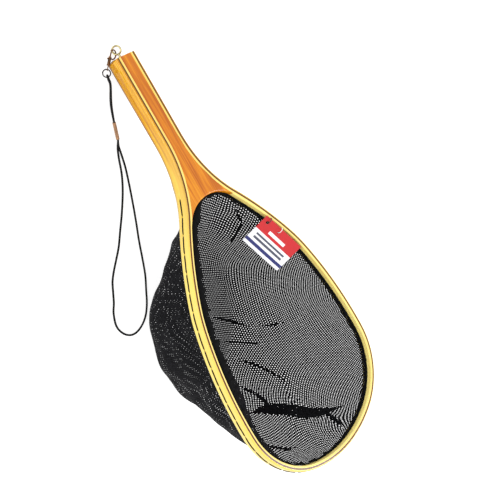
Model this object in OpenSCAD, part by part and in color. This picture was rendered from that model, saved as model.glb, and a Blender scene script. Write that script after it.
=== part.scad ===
// Wooden landing net, lying on its bag with the hoop facing up.
// Units are millimetres. The floor is z = 0 and the handle points to -X.

/* [Frame] */
// Length of the wooden frame from the handle end to the hoop's tip
net_length = 520; // [400:5:640]
// Outer width of the hoop
hoop_width = 230; // [180:1:260]
// Depth of the frame from its front face to its back face
frame_depth = 19; // [15:0.5:24]
// Thickness of the pale inner strip and of the outer strip
ply_t = 2.5; // [2:0.1:3]
// Thickness of the dark strip between them
dark_t = 2; // [1.2:0.1:2.6]
// Corner radius at the end of the handle
end_r = 4; // [3:0.5:7]
// Angle at which the frame leans on its bag
lean = 20; // [17:0.5:22]

/* [Lacing] */
// Width of the groove in the outer strip
groove_w = 2.4; // [1.8:0.1:3]
// Depth of the groove
groove_d = 1.2; // [0.8:0.1:1.6]
// Distance between two lacing holes
lace_pitch = 21; // [18:0.5:24]
// Diameter of the lacing holes
lace_hole_d = 2.4; // [2:0.1:3]
// Diameter of the lacing cord
lace_d = 1.6; // [1.2:0.1:1.8]
// Width of the cloth binding round the bag's mouth
bind_w = 10; // [8:0.5:11]
// Thickness of the binding, measured into the hoop
bind_t = 4.5; // [3:0.5:5]

/* [Bag] */
// Wall of the bag
bag_t = 1.5; // [1:0.1:2]

/* [Hardware] */
// Centre diameter of the screw eye's ring
eye_d = 9.2; // [8:0.2:10]
// Wire of the screw eye
eye_wire = 2; // [1.6:0.1:2.2]
// Length of the screw in the handle
screw_l = 21; // [16:1:30]
// Centre diameter of the snap's hook
hook_d = 10; // [9:0.5:11]
// Wire of the snap's hook
hook_wire = 1.5; // [1.2:0.1:1.6]
// Diameter of the snap's barrel
barrel_d = 3.2; // [2.8:0.1:3.4]
// Diameter of the snap's bolt
bolt_d = 1.5; // [1.2:0.1:1.5]
// Centre diameter of the small lanyard ring
ring_d = 8.4; // [8:0.2:9]
// Wire of the lanyard ring
ring_wire = 1.3; // [1:0.1:1.4]

/* [Lanyard] */
// Diameter of the lanyard cord
cord_d = 2.4; // [2:0.1:2.5]
// Wall of the crimped ferrule
ferrule_wall = 0.6; // [0.4:0.1:0.8]
// Length of the ferrule
ferrule_l = 19; // [14:1:22]

/* [Tag] */
// Length of the hang tag along the rim
tag_w = 61; // [50:1:65]
// Height of the hang tag
tag_h = 41; // [34:1:45]
// Thickness of the hang tag
tag_t = 0.8; // [0.6:0.1:1.2]

/* [Hidden] */
$fn = 32;

kx = net_length / 520;
ky = hoop_width / 230;
t_out = dark_t / 2 + ply_t;
mid_z = -frame_depth / 2;
// Each row of the outline: arc length, radius, number of steps
arcs = [[102, 0, 1], [94, 150, 12], [90, -440, 9], [30, -200, 3],
  [128, -460, 8], [102.498, -90, 22], [60.589, -142.298, 9]];
// The station where the throat's arch meets the inner strip
meet = 13;
arch_r = 50;
arch_x = 225.5;
// The half outline is 607.087 long
tip_s = 607.087;
lace_n = 21;
// Middle of the part's box before it is moved over the origin
shift = [-242.487, 0, 0];

function step(p, l, r) = r == 0
  ? [p[0] + l * cos(p[2]), p[1] + l * sin(p[2]), p[2]]
  : let (h = p[2] + l / r * 180 / PI)
    [p[0] + r * (sin(h) - sin(p[2])), p[1] - r * (cos(h) - cos(p[2])), h];
function start(i) = i == 0 ? [0, 11, 0]
  : step(start(i - 1), arcs[i - 1][0], arcs[i - 1][1]);
function along(d, i = 0) = d <= arcs[i][0] || i == 6
  ? step(start(i), d, arcs[i][1]) : along(d - arcs[i][0], i + 1);
stations = [for (i = [0:6]) let (p = start(i)) for (k = [0:arcs[i][2] - 1])
  step(p, arcs[i][0] * k / arcs[i][2], arcs[i][1]), [516.5, 0, -90]];
last = len(stations) - 1;

// A point beside the outline: o is outward, sd is 1 or -1 for the two sides
function beside(s, o, sd = 1) = let (dx = cos(s[2]) * kx, dy = sin(s[2]) * ky,
  n = norm([dx, dy])) [s[0] * kx - dy / n * o, sd * (s[1] * ky + dx / n * o)];
function side(o, sd, a, b) = [for (i = [a:b]) beside(stations[i], o, sd)];
function rev(v) = [for (i = [len(v) - 1:-1:0]) v[i]];
// The line round the whole frame, from one handle corner to the other
function round_frame(o, a = 0) = concat(side(o, 1, a, last),
  rev(side(o, -1, a, last - 1)));
// The closed line round the hoop's mouth, g inside the wood
function mouth(g, every = 1) = let (p = beside(stations[meet], -t_out - g),
  cx = arch_x * kx, w = atan2(p[1], cx - p[0]), r = norm([p[0] - cx, p[1]]),
  m = 8 / every, half = concat(
    [for (k = [0:m - 1]) [cx - r * cos(w * k / m), r * sin(w * k / m)]],
    [for (i = [meet:every:last]) beside(stations[i], -t_out - g)]))
  concat(half, [for (i = [len(half) - 2:-1:1]) [half[i][0], -half[i][1]]]);

// From the frame's own axes to the floor's, before the shift
function lay(p) = [p[0] * cos(lean) - p[2] * sin(lean), p[1],
  p[0] * sin(lean) + (p[2] + frame_depth) * cos(lean)];

module leaned() {
  translate(shift)
  translate([0, 0, frame_depth * cos(lean)])
  rotate([0, -lean, 0])
  children();
}

module bent_strip(o1, o2, z1, z2, a = 0) {
  translate([0, 0, z1])
  linear_extrude(z2 - z1)
  polygon(concat(round_frame(o2, a), rev(round_frame(o1, a))));
}

module end_rounding() {
  w = 11 * ky + t_out;
  for (sd = [-1, 1])
    translate([0, 0, -frame_depth - 1])
    linear_extrude(frame_depth + 2)
    polygon(concat([[-1, sd * (w + 1)], [-1, sd * (w - end_r)]],
      [for (a = [0:10:90])
        [end_r - end_r * cos(a), sd * (w - end_r + end_r * sin(a))]],
      [[end_r, sd * (w + 1)]]));
}

module lacing_holes(d, o1, o2) {
  for (k = [0:lace_n], sd = k == 0 ? [1] : [-1, 1]) {
    s = along(tip_s - k * lace_pitch - 0.001);
    p = beside(s, o1, sd);
    q = beside(s, o2, sd);
    translate([p[0], p[1], mid_z])
    rotate([0, 90, atan2(q[1] - p[1], q[0] - p[0])])
    cylinder(h = o2 - o1, d = d);
  }
}

module torus(d, wire) {
  rotate_extrude()
  translate([d / 2, 0])
  circle(d = wire);
}

// ---------------------------------------------------------------- frame

module handle_core() {
  color([0.80, 0.42, 0.17])
  leaned()
  difference() {
    translate([0, 0, -frame_depth])
    linear_extrude(frame_depth)
    polygon(concat(side(-t_out, 1, 0, meet + 1),
      rev(side(-t_out, -1, 0, meet + 1))));
    translate([arch_x * kx, 0, -frame_depth - 1])
    cylinder(h = frame_depth + 2, r = arch_r, $fn = 96);
    translate([-1, 0, mid_z])
    rotate([0, 90, 0])
    cylinder(h = screw_l, r = eye_wire / 2 + 0.3);
    lacing_holes(lace_hole_d, -12, 6);
  }
}

module inner_ply() {
  color([0.96, 0.88, 0.62])
  leaned()
  difference() {
    bent_strip(-t_out, -dark_t / 2, -frame_depth, 0);
    end_rounding();
    lacing_holes(lace_hole_d, -12, 6);
  }
}

module middle_ply() {
  color([0.30, 0.17, 0.06])
  leaned()
  difference() {
    bent_strip(-dark_t / 2, dark_t / 2, -frame_depth, 0);
    end_rounding();
    lacing_holes(lace_hole_d, -12, 6);
  }
}

module outer_ply() {
  color([0.90, 0.72, 0.36])
  leaned()
  difference() {
    difference() {
      bent_strip(dark_t / 2, t_out, -frame_depth, 0);
      bent_strip(t_out - groove_d, t_out + 2, mid_z - groove_w / 2,
        mid_z + groove_w / 2, meet - 4);
    }
    end_rounding();
    lacing_holes(lace_hole_d, -12, 6);
  }
}

// ------------------------------------------------------------------ bag

module rim_binding() {
  color([0.08, 0.08, 0.09])
  leaned()
  translate([0, 0, mid_z - bind_w / 2])
  linear_extrude(bind_w)
  difference() {
    polygon(mouth(0.3));
    polygon(mouth(0.3 + bind_t));
  }
}

// Top edge of the bag, on the floor's axes
rim = [for (p = mouth(3.2, 2)) lay([p[0], p[1], mid_z - bind_w / 2 - 0.1])];
rim_mid = [353.7 * kx, 0];
// The patch that lies on the floor
patch_c = [357 * kx, -13];
patch_back = 70 * kx;
patch_tip = 74 * kx;
patch_side = 66 * ky;
down = [sin(lean), 0, -cos(lean)];

function patch(c, s) = let (m = c < 0 ? 2.5 : 2.13,
  d = pow(pow(abs(c) / (c < 0 ? patch_back : patch_tip), m)
    + pow(abs(s) / patch_side, m), 1 / m))
  [patch_c[0] + c / d, patch_c[1] + s / d, 0];
function wall_line(r) = let (
  a = atan2(r[1], r[0] - rim_mid[0]), c = cos(a), s = sin(a), h = r[2],
  p = patch(c, s), v = [p[0] - patch_c[0], p[1] - patch_c[1], 0],
  u = v / norm(v),
  b1 = r + down * (0.34 + 0.02 * c - 0.26 * max(-s, 0)) * h
    + u * (-0.03 + 0.22 * min(c, 0)) * h,
  b2 = p + u * (0.2 - 0.28 * c) * h)
  [for (t = [0, 0.1, 0.22, 0.36, 0.5, 0.64, 0.78, 0.9, 1])
    let (q = 1 - t,
      w = q * q * q * r + 3 * q * q * t * b1 + 3 * q * t * t * b2 + t * t * t * p)
    [w[0], w[1], max(w[2], 0)]];
bag_lines = [for (r = rim) wall_line(r)];
bag_n = len(rim);
bag_k = 9;
function unit(v) = v / norm(v);
function bag_normal(j, k) = k == bag_k - 1 ? [0, 0, 1] : unit(cross(
  bag_lines[(j + 1) % bag_n][k] - bag_lines[(j + bag_n - 1) % bag_n][k],
  bag_lines[j][k + 1] - bag_lines[j][max(k - 1, 0)]));
bag_sign = bag_normal(0, 3)[0] > 0 ? 1 : -1;
function bag_inner(j, k) = let (p = bag_lines[j][k], n = bag_normal(j, k),
  v = k == 0 ? unit(n - down * (n * down)) : n,
  q = p + (k == bag_k - 1 ? v : v * bag_sign) * bag_t)
  [q[0], q[1], k == 0 ? q[2] : max(q[2], bag_t)];
bag_pts = concat([for (k = [0:bag_k - 1], j = [0:bag_n - 1]) bag_lines[j][k]],
  [for (k = [0:bag_k - 1], j = [0:bag_n - 1]) bag_inner(j, k)],
  [[patch_c[0], patch_c[1], 0], [patch_c[0], patch_c[1], bag_t]]);
function ix(l, k, j) = (l * bag_k + k) * bag_n + j % bag_n;
bag_faces = [for (k = [0:bag_k - 2], j = [0:bag_n - 1], f = [
    [ix(0, k, j), ix(0, k, j + 1), ix(0, k + 1, j + 1)],
    [ix(0, k, j), ix(0, k + 1, j + 1), ix(0, k + 1, j)],
    [ix(1, k, j), ix(1, k + 1, j + 1), ix(1, k, j + 1)],
    [ix(1, k, j), ix(1, k + 1, j), ix(1, k + 1, j + 1)]]) f,
  for (j = [0:bag_n - 1], f = [
    [ix(0, 0, j + 1), ix(0, 0, j), ix(1, 0, j)],
    [ix(0, 0, j + 1), ix(1, 0, j), ix(1, 0, j + 1)],
    [ix(0, bag_k - 1, j), ix(0, bag_k - 1, j + 1), 2 * bag_k * bag_n],
    [ix(1, bag_k - 1, j + 1), ix(1, bag_k - 1, j), 2 * bag_k * bag_n + 1]]) f];

module net_bag() {
  color([0.12, 0.12, 0.13])
  translate(shift)
  polyhedron(bag_pts, bag_faces);
}

module lacing_cord() {
  o1 = t_out - groove_d + 0.05;
  o2 = t_out - 0.1;
  color([0.05, 0.05, 0.05])
  leaned()
  union() {
    lacing_holes(lace_d, -t_out - 0.2, o2);
    for (k = [1:lace_n], sd = [-1, 1]) {
      s0 = tip_s - k * lace_pitch;
      q = [for (i = [0:4]) along(s0 - 0.4 + (lace_pitch - 1.4) * i / 4)];
      translate([0, 0, mid_z - lace_d / 2])
      linear_extrude(lace_d)
      polygon(concat([for (s = q) beside(s, o2, sd)],
        rev([for (s = q) beside(s, o1, sd)])));
    }
  }
}

// ------------------------------------------------------------- hardware

module screw_eye() {
  color([0.86, 0.76, 0.48])
  leaned()
  translate([0, 0, mid_z])
  rotate([39.6, 0, 0])
  union() {
    translate([-8.5, 0, 0])
    torus(eye_d, eye_wire);
    translate([-8.5 + eye_d / 2, 0, 0])
    rotate([0, 90, 0])
    cylinder(h = screw_l - 4, r = eye_wire / 2 + 0.2);
  }
}

// The snap's own axes: X to the lanyard, Y to the hook's side
snap_at = [-3.785, -8.603, 5.723];
snap_turn = -35.231;
snap_dip = 5.451;
snap_roll = -13.215;
ring_roll = 50.7;
hook_y = 3.6;
swivel_x = 16.4;
ring_x = 21.3;

module on_snap() {
  translate(shift + snap_at)
  rotate([0, 0, snap_turn])
  rotate([0, snap_dip, 0])
  rotate([snap_roll, 0, 0])
  children();
}

module snap_body() {
  a = asin(hook_y / (hook_d / 2));
  color([0.55, 0.36, 0.20])
  on_snap()
  difference() {
    union() {
      translate([0, hook_y, 0])
      rotate([0, 0, -a])
      rotate_extrude(angle = 180 + 2 * a)
      translate([hook_d / 2, 0])
      circle(d = hook_wire);
      translate([-hook_d / 2 * cos(a), 0, 0])
      sphere(r = 1.05);
      translate([3.2, 0, 0])
      rotate([0, 90, 0])
      cylinder(h = 9.8, d = barrel_d);
      translate([12.2, 0, 0])
      rotate([0, 90, 0])
      cylinder(h = 0.8, d = barrel_d + 0.6);
    }
    translate([2, 0, 0])
    rotate([0, 90, 0])
    cylinder(h = 7.6, r = bolt_d / 2 + 0.1);
    translate([10.5, 0, 0])
    rotate([0, 90, 0])
    cylinder(h = 1.6, r = 1.15);
    translate([10.5, 0, 0])
    rotate([0, 90, 0])
    cylinder(h = 3, r = 0.6);
    translate([5.4, -3, -0.5])
    cube([3.6, 3, 1]);
  }
}

module snap_bolt() {
  color([0.62, 0.42, 0.24])
  on_snap()
  union() {
    translate([-2.2, 0, 0])
    rotate([0, 90, 0])
    cylinder(h = 8.7, d = bolt_d);
    translate([5.95, 0, 0])
    rotate([90, 0, 0])
    cylinder(h = 2.9, r = 0.35);
    translate([5.95, -2.9, 0])
    sphere(r = 0.95);
  }
}

module snap_swivel() {
  color([0.55, 0.36, 0.20])
  on_snap()
  rotate([ring_roll + 90, 0, 0])
  union() {
    translate([10.8, 0, 0])
    rotate([0, 90, 0])
    cylinder(h = 1, r = 0.95);
    translate([10.8, 0, 0])
    rotate([0, 90, 0])
    cylinder(h = swivel_x - 2 - 10.8, r = 0.48);
    translate([swivel_x, 0, 0])
    torus(4, 1);
  }
}

module lanyard_ring() {
  color([0.04, 0.04, 0.04])
  on_snap()
  translate([ring_x, 0, 0])
  rotate([ring_roll, 0, 0])
  torus(ring_d, ring_wire);
}

// -------------------------------------------------------------- lanyard

// Route points on the floor's axes, before the shift
fold = [20.4, -22.16, 5.29];
fold_out = [-0.290, -0.541, 0.790];
fold_in = [0.957, -0.188, 0.222];
pair = [0, -0.64, 0.84];
ferrule_a = [64.7, -31.9, 2.95];
ferrule_b = [84.5, -34.6, 2.95];
lying = cord_d / 2 + 0.05;
right_strand = [[92, -35.3], [100.4, -35.4], [117.5, -36], [136.3, -38.6],
  [159.1, -42.5], [180, -46.6], [204.5, -52], [222, -55], [244.7, -59.5],
  [262.6, -65.6], [277.6, -71], [289.5, -78], [297.5, -87.6], [300.9, -98.7],
  [298.2, -108.6]];
left_strand = [[289.3, -117], [276.6, -121.2], [261.2, -118.6], [250.7, -113.5],
  [239, -109.4], [227, -105], [217, -98.5], [206.5, -90], [194.7, -80.8],
  [180, -72.1], [162.4, -61.6], [141.3, -50.8], [122.6, -44], [104, -40.4],
  [93, -38]];
ferrule_mid = (ferrule_a + ferrule_b) / 2;
up1 = pair * (cord_d / 2 + 0.02);
cord_route = concat(
  [ferrule_mid + [-1, 0, 0] + up1, ferrule_a + up1,
   [46, -28.1, 3.5] + up1 * 1.6, fold + fold_out * 4.5 + fold_in * 6],
  [for (a = [0:22.5:180]) fold + 4.85 * (cos(a) * fold_out - sin(a) * fold_in)],
  [fold - fold_out * 4.5 + fold_in * 6, [46, -28.1, 2.75] - up1 * 1.5,
   ferrule_a - up1, ferrule_mid - up1, ferrule_b - up1],
  [for (p = right_strand) [p[0], p[1], lying]],
  [for (p = left_strand) [p[0], p[1], p[0] < 100 ? lying + 0.9 : lying]],
  [ferrule_b + up1, ferrule_mid + [1, 0, 0] + up1]);
cn = len(cord_route);
// A smooth curve through the route points
function bend(i, t) = let (
  p0 = cord_route[max(i - 1, 0)], p1 = cord_route[i], p2 = cord_route[i + 1],
  p3 = cord_route[min(i + 2, cn - 1)]) 0.5 * (2 * p1 + (p2 - p0) * t
  + (2 * p0 - 5 * p1 + 4 * p2 - p3) * t * t
  + (3 * p1 - 3 * p2 + p3 - p0) * t * t * t);
cord_line = [for (i = [0:cn - 2], t = [0, 0.5]) bend(i, t), cord_route[cn - 1]];
cl = len(cord_line);
function heading(i) = unit(cord_line[min(i + 1, cl - 1)] - cord_line[max(i - 1, 0)]);
// Each ring's first direction is carried along, so that the tube never twists
function carried(i) = i == 0 ? unit(cross(heading(0), [0.3, 0.2, 1]))
  : let (v = carried(i - 1), h = heading(i)) unit(v - h * (v * h));
cord_sides = 8;
cord_pts = [for (i = [0:cl - 1]) let (h = heading(i), u = carried(i),
  v = cross(h, u)) for (k = [0:cord_sides - 1]) let (a = 360 * k / cord_sides)
  cord_line[i] + cord_d / 2 * (cos(a) * u + sin(a) * v)];
cord_faces = concat([[for (k = [0:cord_sides - 1]) k]],
  [for (i = [0:cl - 2], k = [0:cord_sides - 1], h = [0, 1])
    let (a = i * cord_sides + k, b = i * cord_sides + (k + 1) % cord_sides)
    h == 0 ? [b, a, a + cord_sides] : [b, a + cord_sides, b + cord_sides]],
  [[for (k = [cord_sides - 1:-1:0]) (cl - 1) * cord_sides + k]]);

module lanyard_cord() {
  color([0.03, 0.03, 0.03])
  translate(shift)
  polyhedron(cord_pts, cord_faces);
}

module flat_bar(l, gap) {
  linear_extrude(l)
  union() {
    translate([-cord_d / 2, -cord_d / 2 - gap])
    square([cord_d, cord_d + 2 * gap]);
    for (sd = [-1, 1])
      translate([sd * cord_d / 2, 0])
      circle(r = cord_d / 2 + gap);
  }
}

module ferrule() {
  d = ferrule_b - ferrule_a;
  color([0.55, 0.38, 0.22])
  translate(shift + ferrule_mid)
  rotate([0, 0, atan2(d[1], d[0])])
  rotate([0, 90, 0])
  rotate([0, 0, 180 - atan2(pair[1], pair[2])])
  translate([0, 0, -ferrule_l / 2])
  difference() {
    flat_bar(ferrule_l, 0.12 + ferrule_wall);
    translate([0, 0, -1])
    flat_bar(ferrule_l + 2, 0.12);
  }
}

// ------------------------------------------------------------------ tag

tag_at = [234.8, 62.3, 2.4];
tag_turn = 22;
tag_slope = -41.6;

tie_x = 7;
pin_x = 26;
hole_y = -6;

module on_tag() {
  leaned()
  translate(tag_at)
  rotate([0, 0, tag_turn])
  rotate([-tag_slope, 0, 0])
  children();
}

// A loop through the card's hole and round its upper edge
module tag_loop(x, d, wire) {
  on_tag()
  translate([x, hole_y + d / 2, tag_t / 2])
  rotate([0, 90, 0])
  torus(d, wire);
}

module hang_tag() {
  color([0.80, 0.10, 0.12])
  on_tag()
  difference() {
    translate([0, -tag_h, 0])
    cube([tag_w, tag_h, tag_t]);
    translate([tie_x, hole_y, -1])
    cylinder(h = tag_t + 2, r = 2);
    translate([pin_x, hole_y, -1])
    cylinder(h = tag_t + 2, r = 0.9);
  }
}

module tag_tie() {
  color([0.04, 0.04, 0.04])
  tag_loop(tie_x, 7, 1);
}

module tag_pin() {
  color([0.95, 0.95, 0.95])
  tag_loop(pin_x, 7, 0.8);
}

handle_core();
inner_ply();
middle_ply();
outer_ply();
rim_binding();
net_bag();
lacing_cord();
screw_eye();
snap_body();
snap_bolt();
snap_swivel();
lanyard_ring();
lanyard_cord();
ferrule();
hang_tag();
tag_tie();
tag_pin();
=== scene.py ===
"""Looks of the wooden landing net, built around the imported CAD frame.

Lengths are in mm until put() turns them into metres. The hoop's own axes are x from the handle's end to the tip,
y across and z up out of its plane, with 0 on the wood's upper face. lay() tilts them into the row frame.
The near side is the one with negative y.
"""

import math

import bpy
import numpy as np
from mathutils import Matrix, Vector


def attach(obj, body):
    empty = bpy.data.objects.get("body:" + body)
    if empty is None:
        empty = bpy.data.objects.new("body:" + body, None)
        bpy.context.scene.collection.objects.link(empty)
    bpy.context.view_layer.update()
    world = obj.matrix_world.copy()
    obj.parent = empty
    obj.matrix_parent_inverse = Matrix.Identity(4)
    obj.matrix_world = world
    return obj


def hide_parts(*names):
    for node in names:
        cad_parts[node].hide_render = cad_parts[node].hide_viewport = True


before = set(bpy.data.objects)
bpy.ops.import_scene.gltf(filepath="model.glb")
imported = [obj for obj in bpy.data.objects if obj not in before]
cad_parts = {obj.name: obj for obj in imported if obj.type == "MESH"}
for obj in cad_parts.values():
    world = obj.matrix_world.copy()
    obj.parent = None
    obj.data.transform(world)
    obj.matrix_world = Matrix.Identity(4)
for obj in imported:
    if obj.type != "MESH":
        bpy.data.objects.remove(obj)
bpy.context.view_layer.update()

# ------------------------------------------------------------------ outline
MM = 0.001
SHIFT = np.array([-242.487, 0.0, 0.0])
LEAN = math.radians(20)  # tilt of the hoop, which lies on its bag
DEPTH = 19.0  # of the wood, across the hoop's plane
MID_Z = -DEPTH / 2
T_OUT = 3.5  # from the middle ply's middle to the outer or inner face
DARK = 1.0  # half the middle ply's thickness
HALF_GRIP = 11.0  # from the handle's axis to the middle ply's middle
# the middle ply's line from the handle's end to the tip, as arcs: (length, radius), where radius 0 is straight
ARCS = [(102, 0), (94, 150), (90, -440), (30, -200), (128, -460), (102.498, -90), (60.589, -142.298)]
TIP_S = 607.087  # the line's length as far as the tip
ARCH_R, ARCH_X = 50.0, 225.5  # the throat's hollow arch: radius and centre
MEET_S = 190.0  # where the arch meets the inner ply
LACE_PITCH = 21.0
GROOVE_FROM = 164.7
# the hoop is thinner in depth than the handle: share taken off, where that starts, and the length it takes
SLIM, SLIM_FROM, SLIM_OVER = 0.18, 110.0, 150.0


def smooth01(t):
    """From 0 to 1 as t does, with a soft start and end."""
    t = np.clip(t, 0, 1)
    return t * t * (3 - 2 * t)


def between(x, start, rise, end, fall):
    """1 between start + rise and end, with smooth ends."""
    return smooth01((x - start) / rise) * (1 - smooth01((x - end) / fall))


def outline(d):
    """Point and heading on the half outline at each arc length in d."""
    out = []
    for s in np.atleast_1d(d):
        x, y, h = 0.0, HALF_GRIP, 0.0
        left = float(s)
        for i, (length, r) in enumerate(ARCS):
            run = left if i == len(ARCS) - 1 else min(left, length)
            if r == 0:
                x, y = x + run * math.cos(h), y + run * math.sin(h)
            else:
                g = h + run / r
                x, y, h = x + r * (math.sin(g) - math.sin(h)), y - r * (math.cos(g) - math.cos(h)), g
            left -= run
            if left <= 1e-9:
                break
        out.append((x, y, h))
    return np.array(out)


def around(d):
    """Point and unit outward normal on the whole outline, from one handle corner (0) to the other (2 TIP_S)."""
    d = np.atleast_1d(np.asarray(d, float))
    far = d > TIP_S
    p = outline(np.where(far, 2 * TIP_S - d, d))
    side = np.where(far, -1.0, 1.0)
    pos = np.stack([p[:, 0], side * p[:, 1]], 1)
    nrm = np.stack([-np.sin(p[:, 2]), side * np.cos(p[:, 2])], 1)
    return pos, nrm


def lay(p, slim=SLIM):
    """From the hoop's own axes to the row frame, both in mm."""
    p = np.asarray(p, float)
    c, s = math.cos(LEAN), math.sin(LEAN)
    z = p[..., 2] * (1 - slim * smooth01((p[..., 0] - SLIM_FROM) / SLIM_OVER))
    return np.stack([p[..., 0] * c - z * s, p[..., 1], p[..., 0] * s + (z + DEPTH) * c], -1) + SHIFT


# ------------------------------------------------------------------ helpers
def put(name, verts, faces, body, mat, attrs=None, sharp=35, replaces=()):
    """A mesh piece from points in mm in the row frame, riding on a body. sharp is in degrees, 0 for none."""
    me = bpy.data.meshes.new(name)
    me.from_pydata((np.asarray(verts) * MM).tolist(), [], [list(map(int, f)) for f in faces])
    me.validate()
    for key, val in (attrs or {}).items():
        val = np.asarray(val, np.float32)
        kind, field = ("FLOAT_VECTOR", "vector") if val.ndim == 2 else ("FLOAT", "value")
        me.attributes.new(key, kind, "POINT").data.foreach_set(field, val.ravel())
    me.shade_smooth()
    if sharp:
        me.set_sharp_from_angle(angle=math.radians(sharp))
    me.materials.append(mat)
    ob = bpy.data.objects.new(name, me)
    bpy.context.scene.collection.objects.link(ob)
    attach(ob, body)
    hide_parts(*replaces)
    return ob


def grid_faces(nu, nv, wrap_u=False, wrap_v=False, flip=False):
    """Quads of a grid of nu by nv points, index = u * nv + v."""
    u, v = np.meshgrid(np.arange(nu if wrap_u else nu - 1), np.arange(nv if wrap_v else nv - 1), indexing="ij")
    u, v = u.ravel(), v.ravel()
    a, b = u * nv + v, ((u + 1) % nu) * nv + v
    c, d = ((u + 1) % nu) * nv + (v + 1) % nv, u * nv + (v + 1) % nv
    quads = np.stack([a, b, c, d], 1)
    return quads[:, ::-1] if flip else quads


def swept_faces(n, k):
    """Faces of n rings of k points, with a cap at each end."""
    faces = [list(f) for f in grid_faces(n, k, wrap_v=True)]
    return faces + [list(range(k))[::-1], list(range((n - 1) * k, n * k))]


def steps_along(line):
    """Distance from the line's start to each of its points."""
    return np.concatenate([[0], np.cumsum(np.linalg.norm(np.diff(line, axis=0), axis=1))])


def at_steps(t, d, line):
    """Points of a line at the distances t, where d holds the distances of its own points."""
    return np.stack([np.interp(t, d, line[:, k]) for k in range(line.shape[1])], 1)


def unit_rows(v):
    """Vectors in the last axis, at length 1."""
    return v / np.linalg.norm(v, axis=-1)[..., None]


def catmull(points, sub):
    """A smooth line through points, with sub steps between two of them."""
    p = np.asarray(points, float)
    n = len(p)
    out = []
    for i in range(n - 1):
        a, b, c, d = p[max(i - 1, 0)], p[i], p[i + 1], p[min(i + 2, n - 1)]
        square, cube = 2 * a - 5 * b + 4 * c - d, 3 * b - 3 * c + d - a
        for k in range(sub):
            t = k / sub
            out.append(0.5 * (2 * b + (c - a) * t + square * t * t + cube * t**3))
    out.append(p[-1])
    return np.array(out)


def tube(line, radius, sides):
    """Points and faces of a capped tube, and how far along and round it each point is."""
    line = np.asarray(line, float)
    n = len(line)
    tan = unit_rows(np.gradient(line, axis=0))
    ref = unit_rows(np.cross(tan[0], [0.31, 0.22, 0.93]))
    far = steps_along(line)
    pts, uv = [], []
    for i in range(n):
        ref = unit_rows(ref - tan[i] * (ref @ tan[i]))
        other = np.cross(tan[i], ref)
        for k in range(sides):
            a = 2 * math.pi * k / sides
            pts.append(line[i] + radius * (math.cos(a) * ref + math.sin(a) * other))
            uv.append((far[i] * MM, k / sides, 0))
    faces = [list(f) for f in grid_faces(n, sides, wrap_v=True)]
    faces += [list(range(sides)), list(range(n * sides - 1, (n - 1) * sides - 1, -1))]
    return np.array(pts), faces, np.array(uv)


# ---------------------------------------------------------------- materials
def srgb(c):
    """Linear colour with alpha, from 0 to 255 in sRGB."""
    part = [v / 255 for v in c]
    return tuple(x / 12.92 if x <= 0.04045 else ((x + 0.055) / 1.055) ** 2.4 for x in part) + (1.0,)


WHITE = (1, 1, 1)


class Mat:
    """A node material. Each method adds nodes and gives the socket that comes out of them."""

    def __init__(self, name):
        self.material = bpy.data.materials.new(name)
        self.material.use_nodes = True
        self.tree = self.material.node_tree
        self.shader = self.tree.nodes["Principled BSDF"]

    def feed(self, socket, val):
        """Links val to an input if it is a socket, and sets it if it is a value."""
        if isinstance(val, bpy.types.NodeSocket):
            self.tree.links.new(val, socket)
        else:
            socket.default_value = val

    def node(self, kind, inputs, **settings):
        n = self.tree.nodes.new(kind)
        for key, val in settings.items():
            setattr(n, key, val)
        for key, val in inputs.items():
            self.feed(n.inputs[key], val)
        return n

    def set(self, **vals):
        """Sets or links inputs of the shader, and gives the finished material."""
        for key, val in vals.items():
            self.feed(self.shader.inputs[key.replace("_", " ")], val)
        return self.material

    def attr(self, name, out="Vector"):
        return self.node("ShaderNodeAttribute", {}, attribute_name=name).outputs[out]

    def object_space(self):
        return self.node("ShaderNodeTexCoord", {}).outputs["Object"]

    def noise(self, at, scale, detail=3.0, rough=0.5, dist=0.0):
        at = self.node("ShaderNodeMapping", {"Vector": at, "Scale": scale}).outputs["Vector"]
        inputs = {"Vector": at, "Scale": 1.0, "Detail": detail, "Roughness": rough, "Distortion": dist}
        return self.node("ShaderNodeTexNoise", inputs).outputs["Fac"]

    def ramp(self, at, stops, interp="LINEAR"):
        n = self.node("ShaderNodeValToRGB", {"Fac": at})
        n.color_ramp.interpolation = interp
        e = n.color_ramp.elements
        while len(e) < len(stops):
            e.new(0.5)
        for i, (pos, col) in enumerate(stops):
            e[i].position = pos
            e[i].color = tuple(col[:3]) + (1.0,)
        return n.outputs["Color"]

    def mix(self, share, a, b, mode="MIX"):
        """Mixes colour b into a. All three may be sockets or values."""
        n = self.node("ShaderNodeMix", {}, data_type="RGBA", blend_type=mode)
        for key, val in ((0, share), (6, a), (7, b)):
            self.feed(n.inputs[key], val)
        return n.outputs[2]

    def bump(self, height, strength, dist):
        n = self.node("ShaderNodeBump", {"Strength": strength, "Distance": dist, "Height": height})
        self.set(Normal=n.outputs["Normal"])


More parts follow.
